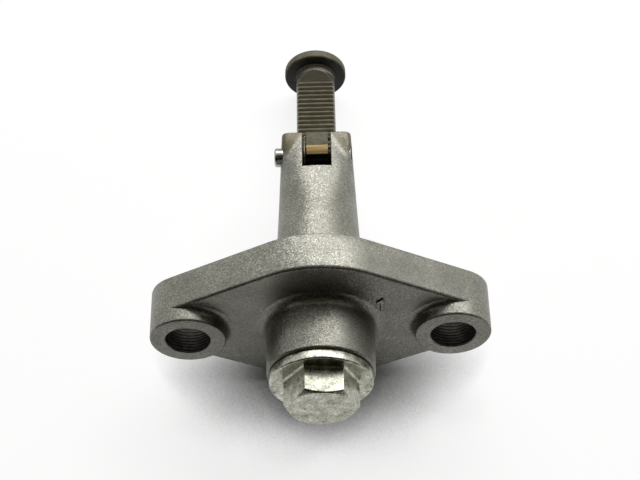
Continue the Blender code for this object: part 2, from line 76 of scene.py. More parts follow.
def resample(line, count):
    # the same line with its points an equal length apart
    steps = np.hypot(*np.diff(line, axis=0).T)
    along = np.concatenate([[0.0], np.cumsum(steps)])
    places = np.linspace(0.0, along[-1], count)
    return np.stack([np.interp(places, along, values) for values in line.T], 1)


def placed(outline, y):
    # an (x, z) outline as points at y, which is one value or one for each point
    return np.stack([outline[:, 0], np.broadcast_to(y, len(outline)), outline[:, 1]], 1)


# Meshes

def addObject(name, data):
    item = bpy.data.objects.new(name, data)
    bpy.context.scene.collection.objects.link(item)
    return item


def addMesh(name, points, faces, materials, body, faceMaterials, sharpAngle=35):
    mesh = bpy.data.meshes.new(name)
    mesh.from_pydata((np.asarray(points, float) * mm).tolist(), [], faces)
    for material in materials:
        mesh.materials.append(material)
    mesh.polygons.foreach_set("material_index", np.asarray(faceMaterials, dtype=np.int32))
    work = bmesh.new()
    work.from_mesh(mesh)
    bmesh.ops.remove_doubles(work, verts=work.verts, dist=0.0004 * mm)
    bmesh.ops.recalc_face_normals(work, faces=work.faces)
    work.to_mesh(mesh)
    work.free()
    mesh.shade_smooth()
    mesh.set_sharp_from_angle(angle=math.radians(sharpAngle))
    piece = addObject(name, mesh)
    if body:
        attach(piece, body)
    return piece


def gridQuads(rows, columns, wrapRows):
    # four corners of each cell of a grid whose columns close on themselves
    index = np.arange(rows * columns).reshape(rows, columns)
    beside = np.roll(index, -1, 1)
    after, afterBeside = np.roll(index, -1, 0), np.roll(beside, -1, 0)
    quads = np.stack([index, beside, afterBeside, after], -1)
    return (quads if wrapRows else quads[:-1]).reshape(-1, 4).tolist()


def addShell(name, grid, materials, body, wrapRows=False, sharpAngle=35, paint=()):
    # closed skin over a grid of rows, with flat ends unless the rows close on themselves;
    # paint lists (material, rows, columns) for the cells that don't have the first material
    grid = np.asarray(grid, float)
    rows, columns = grid.shape[:2]
    faces = gridQuads(rows, columns, wrapRows)
    if not wrapRows:
        faces += [list(range(columns)), list(range((rows - 1) * columns, rows * columns))]
    slots = np.zeros((rows if wrapRows else rows - 1, columns), int)
    for material, rowRange, columnRange in paint:
        slots[slice(*rowRange), slice(*columnRange)] = material
    slots = np.concatenate([slots.ravel(), np.zeros(len(faces) - slots.size, int)])
    return addMesh(name, grid.reshape(-1, 3), faces, materials, body, slots, sharpAngle)


def prism(lowRing, highRing):
    # points and faces of a solid between two rings of equal count; its two ends come first
    count = len(lowRing)
    faces = [list(range(count)), list(range(count, 2 * count))]
    faces += [[i, (i + 1) % count, (i + 1) % count + count, i + count] for i in range(count)]
    return lowRing + highRing, faces


def turnedGrid(profile, columns, centre=None):
    # each (along, radius) pair of the profile swept round the Y axis, or round a line along X
    # through centre's (y, z)
    along, radius = np.asarray(profile, float).T[..., None]
    turn = np.arange(columns) * fullTurn / columns
    along = np.broadcast_to(along, (len(profile), columns))
    across, up = radius * np.cos(turn), radius * np.sin(turn)
    if centre:
        return np.stack([along, centre[0] + across, centre[1] + up], -1)
    return np.stack([across, along, up], -1)


def tubeGrid(path, radius, sides, lean=(0.31, 0.22, 0.92)):
    # circles square to the path; lean is a direction that the path never runs along
    along = np.gradient(path, axis=0)
    along /= np.linalg.norm(along, axis=1, keepdims=True)
    across = np.cross(along, np.asarray(lean))
    across /= np.linalg.norm(across, axis=1, keepdims=True)
    over = np.cross(along, across)
    turn = (np.arange(sides) * fullTurn / sides)[None, :, None]
    return path[:, None] + radius * (np.cos(turn) * across[:, None] + np.sin(turn) * over[:, None])


def carve(piece, cutter):
    # one solid cut by another, with the result kept as a plain mesh and its sharp edges marked again
    step = piece.modifiers.new("cut", "BOOLEAN")
    step.operation = "DIFFERENCE"
    step.object = cutter
    step.solver = "EXACT"
    bpy.context.view_layer.update()
    result = bpy.data.meshes.new_from_object(piece.evaluated_get(bpy.context.evaluated_depsgraph_get()))
    piece.modifiers.clear()
    piece.data = result
    result.shade_smooth()
    result.set_sharp_from_angle(angle=math.radians(35))
    bpy.data.objects.remove(cutter, do_unlink=True)
    return piece


def addBevel(piece, width, segments, angle=35):
    step = piece.modifiers.new("edges", "BEVEL")
    step.width = width * mm
    step.segments = segments
    step.limit_method = "ANGLE"
    step.angle_limit = math.radians(angle)


# Materials

def linear(hexColour):
    # sRGB hex to linear: (c / 12.92) below 0.04045, otherwise ((c + 0.055) / 1.055) to the power 2.4
    values = [int(hexColour[i:i + 2], 16) / 255 for i in (1, 3, 5)]
    return [v / 12.92 if v <= 0.04045 else ((v + 0.055) / 1.055) ** 2.4 for v in values] + [1.0]


def join(tree, node, inputs):
    # a node or socket is linked to the input of that name, and anything else is set on it
    for name, value in inputs.items():
        if isinstance(value, bpy.types.Node):
            value = value.outputs[0]
        if isinstance(value, bpy.types.NodeSocket):
            tree.links.new(value, node.inputs[name])
        else:
            node.inputs[name].default_value = value


def addNode(tree, kind, inputs=None, stops=(), **settings):
    # stops are a ramp's (place, hex colour) pairs
    node = tree.nodes.new("ShaderNode" + kind)
    for name, value in settings.items():
        setattr(node, name, value)
    for i, (place, colour) in enumerate(stops):
        points = node.color_ramp.elements
        point = points[i] if i < 2 else points.new(place)
        point.position, point.color = place, linear(colour)
    join(tree, node, inputs or {})
    return node


def newMaterial(name):
    material = bpy.data.materials.new(name)
    material.use_nodes = True
    tree = material.node_tree
    return material, tree, tree.nodes["Principled BSDF"], addNode(tree, "TexCoord").outputs["Object"]


casting = {
    "tones": ((0.0, "#605f56"), (0.4, "#838278"), (0.75, "#9c9b90"), (1.0, "#d0cfc4")),
    "patch": 5.0,       # slow drift of the tone across the casting
    "warmPatch": 11.0,  # where old oil has left it a little brown
    "warmShare": 0.16,
    "facet": 0.14,      # shot marks are about 0.1 mm; drawn a little coarser so that they show
    "lean": 0.16,       # how far the floor of a mark tilts
    "dent": 0.8,        # wider, shallower waves of the blasting
    "dentDepth": 0.010,
    "roughness": (0.36, 0.44),
    "paintedShade": "#5b5540", "cornerShadeShare": (0.85, 0.68),  # painted dark brown reflection on the tip's corners, left and right
    "cornerShadeSlope": 1.81, "cornerShadeEdge": (32.1, 33.3), "cornerShadeTip": (23.8, 25.0),  # where it begins
}


def shotBlastedAluminium():
    # die-cast aluminium blasted with shot: matt neutral grey that sparkles from thousands of tiny dents,
    # with a painted dark brown reflection on the corners of the nose's tip, stronger on the left
    material, tree, shader, place = newMaterial("shotBlastedAluminium")
    drift = addNode(tree, "TexNoise", {"Vector": place, "Scale": 1 / (casting["patch"] * mm), "Detail": 3.0})
    marks = addNode(tree, "TexVoronoi", {"Vector": place, "Scale": 1 / (casting["facet"] * mm)})
    dents = addNode(tree, "TexNoise", {"Vector": place, "Scale": 1 / (casting["dent"] * mm), "Detail": 4.0})
    tone = addNode(tree, "SeparateColor", {"Color": marks.outputs["Color"]})
    mixed = addNode(tree, "Math", {0: drift, 1: 0.8, 2: tone}, operation="MULTIPLY_ADD")
    spread = addNode(tree, "MapRange", {"Value": mixed, "From Min": 0.2, "From Max": 1.6})
    skinTone = addNode(tree, "ValToRGB", {"Fac": spread}, casting["tones"])
    # painted shade: a dark brown reflection painted across the tip's corners, stronger on the left than the
    # right
    axes = addNode(tree, "SeparateXYZ", {"Vector": place})
    aside = addNode(tree, "Math", {0: axes.outputs["X"]}, operation="ABSOLUTE")
    corner = addNode(tree, "Math", {0: aside, 1: casting["cornerShadeSlope"], 2: axes.outputs["Y"]},
                     operation="MULTIPLY_ADD")
    low, high = casting["cornerShadeEdge"]
    shadedCorner = addNode(tree, "MapRange", {"Value": corner, "From Min": low * mm, "From Max": high * mm},
                      interpolation_type="SMOOTHSTEP")
    low, high = casting["cornerShadeTip"]
    atTip = addNode(tree, "MapRange", {"Value": axes.outputs["Y"], "From Min": low * mm,
                                       "From Max": high * mm})
    left, right = casting["cornerShadeShare"]
    sideShadeShare = addNode(tree, "MapRange", {"Value": axes.outputs["X"], "From Min": -mm, "From Max": mm,
                                           "To Min": left, "To Max": right})
    paintedShade = addNode(tree, "Math", {0: shadedCorner, 1: atTip}, operation="MULTIPLY")
    warmth = addNode(tree, "TexNoise", {"Vector": place, "Scale": 1 / (casting["warmPatch"] * mm),
                                        "Detail": 1.0})
    warm = addNode(tree, "MapRange", {"Value": warmth, "From Min": 0.40, "From Max": 0.70,
                                      "To Max": casting["warmShare"]})
    share = addNode(tree, "Math", {0: paintedShade, 1: sideShadeShare, 2: warm}, operation="MULTIPLY_ADD")
    # inputs of the colour mix: 0 its share, 6 and 7 its two colours
    colour = addNode(tree, "Mix", {6: skinTone, 7: linear(casting["paintedShade"]), 0: share}, data_type="RGBA")
    centred = addNode(tree, "VectorMath", {0: marks.outputs["Color"], 1: (0.5, 0.5, 0.5)},
                      operation="SUBTRACT")
    leaning = addNode(tree, "VectorMath", {0: centred, "Scale": casting["lean"]}, operation="SCALE")
    skin = addNode(tree, "NewGeometry").outputs["Normal"]
    tilted = addNode(tree, "VectorMath", {0: skin, 1: leaning}, operation="ADD")
    facets = addNode(tree, "VectorMath", {0: tilted}, operation="NORMALIZE")
    bump = addNode(tree, "Bump", {"Height": dents, "Strength": 0.6, "Distance": casting["dentDepth"] * mm,
                                  "Normal": facets})
    low, high = casting["roughness"]
    gloss = addNode(tree, "MapRange", {"Value": dents, "From Min": 0.3, "From Max": 0.7,
                                       "To Min": low, "To Max": high})
    join(tree, shader, {"Base Color": colour.outputs[2], "Roughness": gloss, "Normal": bump,
                        "Metallic": 0.5})
    return material


def drilledAluminiumPaintedShade():
    # wall of a drilled hole with rings left by the drill; its dark tones are painted shade of the hole's
    # depth
    material, tree, shader, place = newMaterial("drilledAluminiumPaintedShade")
    # a wave's bands lie 0.31 of its size apart: 0.53 mm here, drawn coarser than a drill's real rings
    rings = addNode(tree, "TexWave", {"Vector": place, "Scale": 1 / (1.7 * mm), "Distortion": 2.0,
                                      "Detail": 2.0}, bands_direction="Y")
    paintedShade = addNode(tree, "TexNoise", {"Vector": place, "Scale": 1 / (1.3 * mm), "Detail": 4.0})
    # painted shade: dark tones for the inside of the hole
    colour = addNode(tree, "ValToRGB", {"Fac": paintedShade}, ((0.3, "#2b2823"), (0.75, "#5b564e")))
    bump = addNode(tree, "Bump", {"Height": rings, "Strength": 0.9, "Distance": 0.10 * mm})
    join(tree, shader, {"Base Color": colour, "Normal": bump, "Metallic": 0.5, "Roughness": 0.55})
    return material


def phosphatedSteel():
    # manganese phosphate, oiled: a thin crystalline coat, dark olive and satin, worn lighter in clouds
    material, tree, shader, place = newMaterial("phosphatedSteel")
    cloud = addNode(tree, "TexNoise", {"Vector": place, "Scale": 1 / (1.4 * mm), "Detail": 5.0,
                                       "Roughness": 0.6})
    # crystals are about 0.02 mm; drawn eight times coarser
    grit = addNode(tree, "TexNoise", {"Vector": place, "Scale": 1 / (0.16 * mm), "Detail": 2.0})
    colour = addNode(tree, "ValToRGB", {"Fac": cloud},
                     ((0.3, "#5c5848"), (0.5, "#736e5d"), (0.72, "#8d8774")))
    bump = addNode(tree, "Bump", {"Height": grit, "Strength": 0.35, "Distance": 0.02 * mm})
    gloss = addNode(tree, "MapRange", {"Value": cloud, "From Min": 0.3, "From Max": 0.7,
                                       "To Min": 0.52, "To Max": 0.66})
    join(tree, shader, {"Base Color": colour, "Roughness": gloss, "Normal": bump, "Metallic": 0.1,
                        "Specular IOR Level": 0.3})
    return material


zinc = {
    "tones": ((0.0, "#66655a"), (0.3, "#989888"), (0.62, "#b5b5a7"), (1.0, "#e8e8e3")),
    "cloud": 1.4, "speck": 0.30, "spread": (0.74, 1.28), "roughness": (0.20, 0.44),
}


def zincPlatedSteel():
    # pale yellow-green zinc plate on a cold-headed bolt: satin sheen with dull blotches and dark specks
    material, tree, shader, place = newMaterial("zincPlatedSteel")
    cloud = addNode(tree, "TexNoise", {"Vector": place, "Scale": 1 / (zinc["cloud"] * mm), "Detail": 5.0,
                                       "Roughness": 0.62})
    specks = addNode(tree, "TexNoise", {"Vector": place, "Scale": 1 / (zinc["speck"] * mm), "Detail": 3.0,
                                        "Roughness": 0.7})
    both = addNode(tree, "Math", {0: cloud, 1: specks}, operation="ADD")
    low, high = zinc["spread"]
    spread = addNode(tree, "MapRange", {"Value": both, "From Min": low, "From Max": high})
    colour = addNode(tree, "ValToRGB", {"Fac": spread}, zinc["tones"])
    bump = addNode(tree, "Bump", {"Height": specks, "Strength": 0.3, "Distance": 0.03 * mm})
    low, high = zinc["roughness"]
    gloss = addNode(tree, "MapRange", {"Value": cloud, "From Min": 0.3, "From Max": 0.7,
                                       "To Min": low, "To Max": high})
    join(tree, shader, {"Base Color": colour, "Roughness": gloss, "Normal": bump, "Metallic": 0.95})
    return material


def groundBronze():
    # bronze-coloured slope straight from the grinding wheel: fine parallel lines across the pawl
    material, tree, shader, place = newMaterial("groundBronze")
    stretched = addNode(tree, "Mapping", {"Vector": place, "Scale": (0.02, 1.0, 1.0)})
    # wheel marks are 0.03 mm apart, drawn coarser
    lines = addNode(tree, "TexNoise", {"Vector": stretched, "Scale": 1 / (0.2 * mm), "Detail": 2.0})
    colour = addNode(tree, "ValToRGB", {"Fac": lines},
                     ((0.3, "#6f5c3a"), (0.5, "#8d774d"), (0.7, "#a8936a")))
    bump = addNode(tree, "Bump", {"Height": lines, "Strength": 0.4, "Distance": 0.02 * mm})
    join(tree, shader, {"Base Color": colour, "Normal": bump, "Metallic": 0.85, "Roughness": 0.38})
    return material


def cloudedFinish(name, size, tones, roughness, others, detail=3.0, places=(0.3, 0.7)):
    # plain finish with one soft cloud of noise between two tones; two roughness values follow the cloud
    material, tree, shader, place = newMaterial(name)
    cloud = addNode(tree, "TexNoise", {"Vector": place, "Scale": 1 / (size * mm), "Detail": detail})
    colour = addNode(tree, "ValToRGB", {"Fac": cloud}, tuple(zip(places, tones)))
    if isinstance(roughness, tuple):
        roughness = addNode(tree, "MapRange", {"Value": cloud, "From Min": 0.3, "From Max": 0.7,
                                               "To Min": roughness[0], "To Max": roughness[1]})
    join(tree, shader, {"Base Color": colour, "Roughness": roughness, **others})
    return material


castSkin = shotBlastedAluminium()
paintedShadeWall = drilledAluminiumPaintedShade()
darkSteel = phosphatedSteel()
zincSkin = zincPlatedSteel()
bronzeSkin = groundBronze()
metal = {"Metallic": 1.0}
# bare steel rubbed by its bore: grey with a broad sheen
slideSteel = cloudedFinish("slidePolishedSteel", 1.0, ("#5a5850", "#79776e"), (0.36, 0.48), metal)
# phosphate coat painted pale and dull: painted light on the neck, the run-out and the steep flanks, which
# lie in shade
paintedLightPhosphate = cloudedFinish("phosphatePaintedLight", 0.5, ("#aba797", "#c2beae"), 0.7,
                          {"Specular IOR Level": 0.2}, 4.0)
# painted shade under the head: nearly black
paintedShadeSteel = cloudedFinish("phosphatePaintedShade", 1.4, ("#2a2a29", "#3c3c3a"), (0.45, 0.60), metal)
# sintered pawl, steam treated and oiled: dark grey-olive with a soft sheen
pawlSkin = cloudedFinish("oiledPawlSteel", 0.5, ("#413f2f", "#5e5b47"), 0.55, {"Metallic": 0.35}, 4.0)
# ground pin: bright, with a sharp line of light along it
pinSteel = cloudedFinish("groundPinSteel", 0.7, ("#8c8c88", "#b4b4b0"), (0.16, 0.28), metal)
# the same pin inside the slot: painted black, painted shade and dark reflection of the slot
pinPaintedShade = cloudedFinish("pinSteelPaintedShade", 0.7, ("#1d1b17", "#2c2a25"), (0.30, 0.40), metal)
# drawn spring wire, oiled: dim brownish grey with a soft line of light
wireSteel = cloudedFinish("drawnSpringWire", 0.5, ("#504d42", "#726f61"), (0.30, 0.42), metal)
# moulded nitrile seal: black, matt, faintly dusty
sealRubber = cloudedFinish("nitrileRubber", 0.8, ("#0d0d0c", "#1c1b19"), 0.75, {}, places=(0.35, 0.75))
print("materials made")


# Housing: flange plate, ears, boss and nose of one die-casting

flange = {
    "holeSpacing": 41.0, "holeRadius": 3.5, "holeEase": 0.12, "holeWave": 0.012, "boreRadius": 4.2,
    "earRadius": 6.05, "earHeight": 8.3, "earFillet": 1.1, "rimRound": 0.34,
    "plateRadius": 15.95, "plateHeight": 6.15, "edgeRound": 0.55, "backRound": 0.2,
    "draft": math.radians(1.0),
    "hidden": 4.7,  # radius at which the plate ends inside an ear
}
earX = flange["holeSpacing"] / 2
draftSlope = math.tan(flange["draft"])
tangentAngle = math.acos((flange["plateRadius"] - flange["earRadius"]) / earX)


def plateRing(y, inset):
    # middle circle and straight tangents to both ears, with a hollow arc hidden inside each ear
    side = tangentAngle + math.radians(12)
    edge = flange["earRadius"] - inset
    lower = arcPoints((earX, 0), edge, -tangentAngle, -tangentAngle, 0)
    inner = arcPoints((earX, 0), flange["hidden"], -side, side - fullTurn, 40)
    upper = arcPoints((earX, 0), edge, tangentAngle, tangentAngle, 0)
    middle = arcPoints((0, 0), flange["plateRadius"] - inset, tangentAngle, halfTurn - tangentAngle, 64)
    half = np.concatenate([lower, inner, upper, middle[:-1]])
    return placed(np.concatenate([half, -half]), y)


def plateGrid():
    # the outline carried from the rear face forward: eased edge, drafted side, rounded front edge
    top, back, edge = flange["plateHeight"], flange["backRound"], flange["edgeRound"]
    side = np.linspace(back, top - edge, 5)[1:]
    profile = np.concatenate([arcPoints((-back, back), back, 0, -quarterTurn, 3),
                              np.stack([-side, side * draftSlope], 1),
                              arcPoints((edge - top, edge + (top - edge) * draftSlope), edge,
                                        -quarterTurn, -halfTurn, 7)[1:]])
    return [plateRing(y, inset) for y, inset in profile]


def earGrid(side, columns=160):
    # section swept round the hole, whose bore is a little wavy (sin 7y times sin 2.3y); the root fillet
    # shrinks to nothing where the plate has no room for it
    radius, height, ease = flange["earRadius"], flange["earHeight"], flange["holeEase"]
    plate, rim, back = flange["plateHeight"], flange["rimRound"], flange["backRound"]
    hole, wave = flange["holeRadius"], flange["holeWave"]
    turn = np.arange(columns) * fullTurn / columns
    past = np.abs(np.mod(turn + halfTurn, fullTurn) - halfTurn) - tangentAngle
    room = (radius - flange["edgeRound"] - 0.05) / np.maximum(np.cos(past), 0.05) - radius
    fillet = np.where(past > 0, np.clip(room, 0.01, flange["earFillet"]), 0.01)
    rows = [(hole + ease, -height)]
    rows += [(hole + wave * math.sin(y * 7.0) * math.sin(y * 2.3), y)
             for y in np.linspace(-height + ease, -ease, 30)]
    rows.append((hole + ease, -sink))
    rows += [(radius - back * (1 - math.cos(a)), -back * (1 - math.sin(a)) - sink)
             for a in np.linspace(quarterTurn, 0, 4)]
    start = plate - flange["earFillet"] - 0.1
    rows.append((radius - draftSlope * start, -start))
    wall = radius - draftSlope * plate
    rows += [(wall + fillet * (1 - math.sin(a)), -(plate + fillet * (1 - math.cos(a))))
             for a in np.linspace(0, quarterTurn, 9)]
    wall = radius - draftSlope * height
    rows += [(wall - rim * (1 - math.cos(a)), -(height - rim + rim * math.sin(a)))
             for a in np.linspace(0, quarterTurn, 6)]
    return [np.stack(np.broadcast_arrays(side * (earX + reach * np.cos(turn)), y, reach * np.sin(turn)), 1)
            for reach, y in rows]


boss = {"radius": 8.3, "height": 8.85, "fillet": 1.6, "rimRound": 0.35, "mouth": 4.25, "mouthChamfer": 0.4}
bossFaceY = -(flange["plateHeight"] + boss["height"])


def bossProfile():
    # plate to wall through a quarter-round fillet, then the drafted wall and the rounded rim
    plate, fillet, rim = flange["plateHeight"], boss["fillet"], boss["rimRound"]
    mouth, chamfer = boss["mouth"], boss["mouthChamfer"]
    foot = boss["radius"] + (-bossFaceY - plate - fillet) * draftSlope
    return np.concatenate([
        [(-plate / 2, mouth), (-plate / 2, foot + fillet + buried), (sink - plate, foot + fillet + buried)],
        arcPoints((sink - plate - fillet, foot + fillet), fillet, 0, -quarterTurn, 13),
        arcPoints((bossFaceY + rim, boss["radius"] - rim), rim, quarterTurn, halfTurn, 6),
        [(bossFaceY, mouth + chamfer), (bossFaceY + chamfer, mouth)]])


nose = {
    "length": 28.5, "rootRadius": 7.15, "tipRadius": 6.0, "rootFillet": 0.8, "rimRound": 0.24, "rootY": -3.0,
    "shoulderStart": 14.0, "shoulderEnd": 6.0, "shoulderPower": 3.0,
    "blockLength": 8.0, "blockDraft": math.radians(2.0), "cornerPower": 18,
    "soften": 2.4,  # width in degrees of the average over the angle
    "blur": 1.4,    # reach in mm of the average along the nose
    "slotWidth": 4.77, "slotLength": 7.55, "slotEase": 0.14, "bore": 3.7,
    "fineLength": 3.0,  # rows lie closer over this length before the slot
}
pin = {"radius": 1.6, "setback": 3.4, "rackGap": 0.45, "proud": 0.95, "farSetback": 0.4, "endRound": 0.4,
       "holeRadius": 1.68}
rack = {"height": 1.6, "depth": 0.5, "pitch": 1.0, "steep": 0.13, "teeth": 19,
        "runoutAngle": math.radians(56.0), "runoutFillet": 0.5}
pawl = {"width": 3.65, "offset": 0.10, "cover": 1.0, "topSink": 0.10, "saddleGap": 0.12, "lip": 0.38,
        "lipAngle": math.radians(118.0), "heelAngle": math.radians(-35.0), "heelRun": 1.35,
        "slopeRun": 0.5, "lash": 0.25, "toothGap": 0.08, "edge": 0.07,
        "eyeSetback": 0.50, "eyeDrop": 0.80}
slotStart = nose["length"] - nose["slotLength"]
pinY = nose["length"] - pin["setback"]
pinZ = rack["height"] + pin["rackGap"] + pin["radius"]
tipTop = pinZ + pin["radius"] + pawl["cover"]


def noseReach(turn, y, inset):
    # polar distance to the skin: the larger of a rounded body, (out^p + up^p)^(-1/p) with p growing from
    # 2 to 3 toward the tip, and a drafted block whose lid follows a quarter ellipse seen from the side
    along = np.clip(y / nose["length"], 0.0, 1.0)
    back = max(nose["length"] - y, 0.0)
    half = nose["rootRadius"] + (nose["tipRadius"] - nose["rootRadius"]) * along - inset
    top = nose["rootRadius"] + (tipTop - nose["rootRadius"]) * along - inset
    out, up = np.abs(np.cos(turn)), np.maximum(np.sin(turn), 0.0)
    ramp = smooth((nose["shoulderStart"] - back) / (nose["shoulderStart"] - nose["shoulderEnd"]))
    power = 2 + (nose["shoulderPower"] - 2) * ramp
    reach = ((out / half) ** power + (up / top) ** power) ** (-1 / power)
    if back < nose["blockLength"] - sink:
        lid = (tipTop - inset) * math.sqrt(1 - (back / nose["blockLength"]) ** 2)
        side = (out + up * math.tan(nose["blockDraft"])) / half
        sharp = nose["cornerPower"]
        reach = np.maximum(reach, (side ** sharp + (up / lid) ** sharp) ** (-1 / sharp))
    return np.where(np.sin(turn) > 0, reach, half)


def noseOutline(y, inset, steps=720):
    # right half of the section from crown to keel: the reach averaged along the nose, then by a bell
    # over the angle, which softens its corners
    turn = quarterTurn - np.arange(steps) * fullTurn / steps
    shifts = np.linspace(-nose["blur"], nose["blur"], 7)
    reach = np.mean([noseReach(turn, y + shift, inset) for shift in shifts], 0)
    width = nose["soften"] * steps / 360
    span = int(4 * width)
    bell = np.exp(-0.5 * (np.arange(-span, span + 1) / width) ** 2)
    reach = np.take(reach, np.arange(-span, steps + span), mode="wrap")
    reach = np.convolve(reach, bell / bell.sum(), "valid")
    return (reach[:, None] * np.stack([np.cos(turn), np.sin(turn)], 1))[:steps // 2 + 1]


def noseRing(y, inset, columns=240):
    # the right half from crown to keel, then the left half back up to the crown
    right = resample(noseOutline(y, inset), columns // 2 + 1)
    return placed(np.concatenate([right, right[-2:0:-1] * (-1, 1)]), y)


def boreRing(y, columns=240):
    return placed(arcPoints((0, 0), nose["bore"], quarterTurn, quarterTurn - fullTurn, columns)[:-1], y)


def noseRearGrid():
    # outer skin from inside the plate to the slot's end wall, then the bore back again
    fillet, fineStart = nose["rootFillet"], slotStart - nose["fineLength"]
    profile = [(nose["rootY"], -fillet - buried), (-sink, -fillet - buried)]
    profile += arcPoints((fillet, -fillet), fillet, halfTurn, quarterTurn, 8).tolist()
    profile += [(y, 0.0) for y in np.linspace(fillet, fineStart, 28)[1:]]
    profile += [(y, 0.0) for y in np.linspace(fineStart, slotStart, 31)[1:]]
    return [noseRing(y, inset) for y, inset in profile] + [boreRing(slotStart), boreRing(nose["rootY"])]


def tipRing(y, inset, skinCount=200, wallCount=12, boreCount=90):
    # open section: outer skin from slot edge to slot edge, down one wall, round the bore, up the other
    ease = nose["slotEase"]
    wallX = nose["slotWidth"] / 2 + inset
    outer = resample(noseOutline(y, inset), 1200)
    lipZ = np.interp(wallX + ease, outer[:400, 0], outer[:400, 1])
    lip = arcPoints((wallX + ease, lipZ - ease), ease, halfTurn, quarterTurn, 5)
    skin = resample(outer[np.argmax(outer[:, 0] > wallX + ease + sink):], skinCount)
    right = np.concatenate([lip, skin])
    bore = nose["bore"] + inset * 0.5
    cut = math.asin(wallX / bore)
    boreArc = arcPoints((0, 0), bore, quarterTurn + cut, quarterTurn - cut + fullTurn, boreCount)
    wallZ = np.linspace(lipZ - ease, bore * math.cos(cut), wallCount)[1:-1]
    leftWall = np.stack([np.full(len(wallZ), -wallX), wallZ], 1)
    left = right[-2::-1] * (-1, 1)
    return placed(np.concatenate([right, left, leftWall, boreArc, leftWall[::-1] * (-1, 1)]), y)


def noseTipGrid():
    # the open section carried along the slot, with a rounded rim
    rim, end = nose["rimRound"], nose["length"]
    rows = [tipRing(y, 0.0) for y in np.linspace(slotStart - sink, end - rim, 72)]
    return rows + [tipRing(y, inset) for y, inset in
                   arcPoints((end - rim, rim), rim, -quarterTurn, 0, 6)[1:]]


plate = addShell("flangePlate", plateGrid(), [castSkin], "housing")
plateBore = addShell("plateBore", turnedGrid([(y, flange["boreRadius"]) for y in (-8.0, 1.0)], 128),
                     [castSkin], "housing")  # past both faces of the plate
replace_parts(carve(plate, plateBore), "housing")
for name, side in (("leftEar", -1), ("rightEar", 1)):
    # the hole's wall carries painted shade
    addShell(name, earGrid(side), [castSkin, paintedShadeWall], "housing", wrapRows=True,
             paint=[(1, (1, 30), (None,))])
addShell("centreBoss", turnedGrid(bossProfile(), 192), [castSkin], "housing",
         wrapRows=True)
addShell("noseRear", noseRearGrid(), [castSkin], "housing", wrapRows=True)
noseTip = addShell("noseTip", noseTipGrid(), [castSkin], "housing")
pinHole = addShell("pinHole", turnedGrid([(x, pin["holeRadius"]) for x in (3.0, 9.0)], 64, (pinY, pinZ)),
                   [castSkin], "housing")  # from inside the wall out past the skin
carve(noseTip, pinHole)

numeral = {"x": (8.68, 9.72), "z": (4.1, 7.3), "stroke": 0.46, "raise": 0.28, "flagDrop": 0.95,
           "draft": 0.13, "edge": 0.03}


def numeralRing(y, grow):
    # corners of a plain figure one at y, widened all round by grow
    left, right = numeral["x"][0] - grow, numeral["x"][1] + grow
    low, high = numeral["z"][0] - grow, numeral["z"][1] + grow
    stroke, drop = numeral["stroke"] + 2 * grow, numeral["flagDrop"]
    outline = [(right - stroke, low), (right, low), (right, high - drop * 0.5),
               (right - stroke * 0.45, high), (left, high - drop * 0.8),
               (left, high - drop - stroke * 0.5), (right - stroke, high - drop)]
    return [(x, y, z) for x, z in outline]


points, faces = prism(numeralRing(sink - flange["plateHeight"], numeral["draft"]),
                      numeralRing(-flange["plateHeight"] - numeral["raise"], 0.0))
shadedSides = [0, 1, 0, 1, 1, 0, 1]  # right side, flag and left side carry painted shade
addBevel(addMesh("castNumeral", points, faces, [castSkin, paintedShadeWall], "housing",
                 [0, 0] + shadedSides), numeral["edge"], 2)
print("housing made")


# Cross pin

pinWall = nose["tipRadius"] + (nose["rootRadius"] - nose["tipRadius"]) * pin["setback"] / nose["length"]


def pinProfile():
    # straight bar whose two ends turn in by a quarter round; its middle rows lie in the slot
    left, right, edge = -(pinWall + pin["proud"]), pinWall - pin["farSetback"], pin["endRound"]
    corner = arcPoints((edge, pin["radius"] - edge), edge, halfTurn, quarterTurn, 7)
    middle = [(side * nose["slotWidth"] / 2, pin["radius"]) for side in (-1, 1)]
    return np.concatenate([corner + (left, 0), middle, (corner * (-1, 1) + (right, 0))[::-1]])


# the middle, inside the slot, carries painted shade
crossPin = addShell("crossPin", turnedGrid(pinProfile(), 64, (pinY, pinZ)), [pinSteel, pinPaintedShade], "housing",
                    paint=[(1, (8, 9), (None,))])
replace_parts(crossPin, "pawl_pin")


# Cap bolt and its seal

capBolt = {
    "seatY": bossFaceY - 0.55, "flangeRadius": 7.92, "flangeHeight": 1.10, "flangeRound": 0.26,
    "lipRadius": 7.42, "lipGap": 0.22, "lipEase": 0.10,
    "shankRadius": 4.0, "shankEndY": -7.05, "shankChamfer": 0.6, "pocket": 2.4, "pocketDepth": 1.8,
    "acrossFlats": 10.0, "hexHeight": 4.1, "faceRadius": 4.8, "chamfer": math.radians(30.0),
    "turn": math.radians(5.0), "cornerRound": 0.16, "edgeRound": 0.10, "dish": 0.40, "baseFillet": 0.42,
}
seal = {"inner": 4.25, "outer": 7.25, "thickness": 0.35, "gap": 0.10, "bulge": 0.1}
capFaceY = capBolt["seatY"] - capBolt["flangeHeight"]
capEndY = capFaceY - capBolt["hexHeight"]


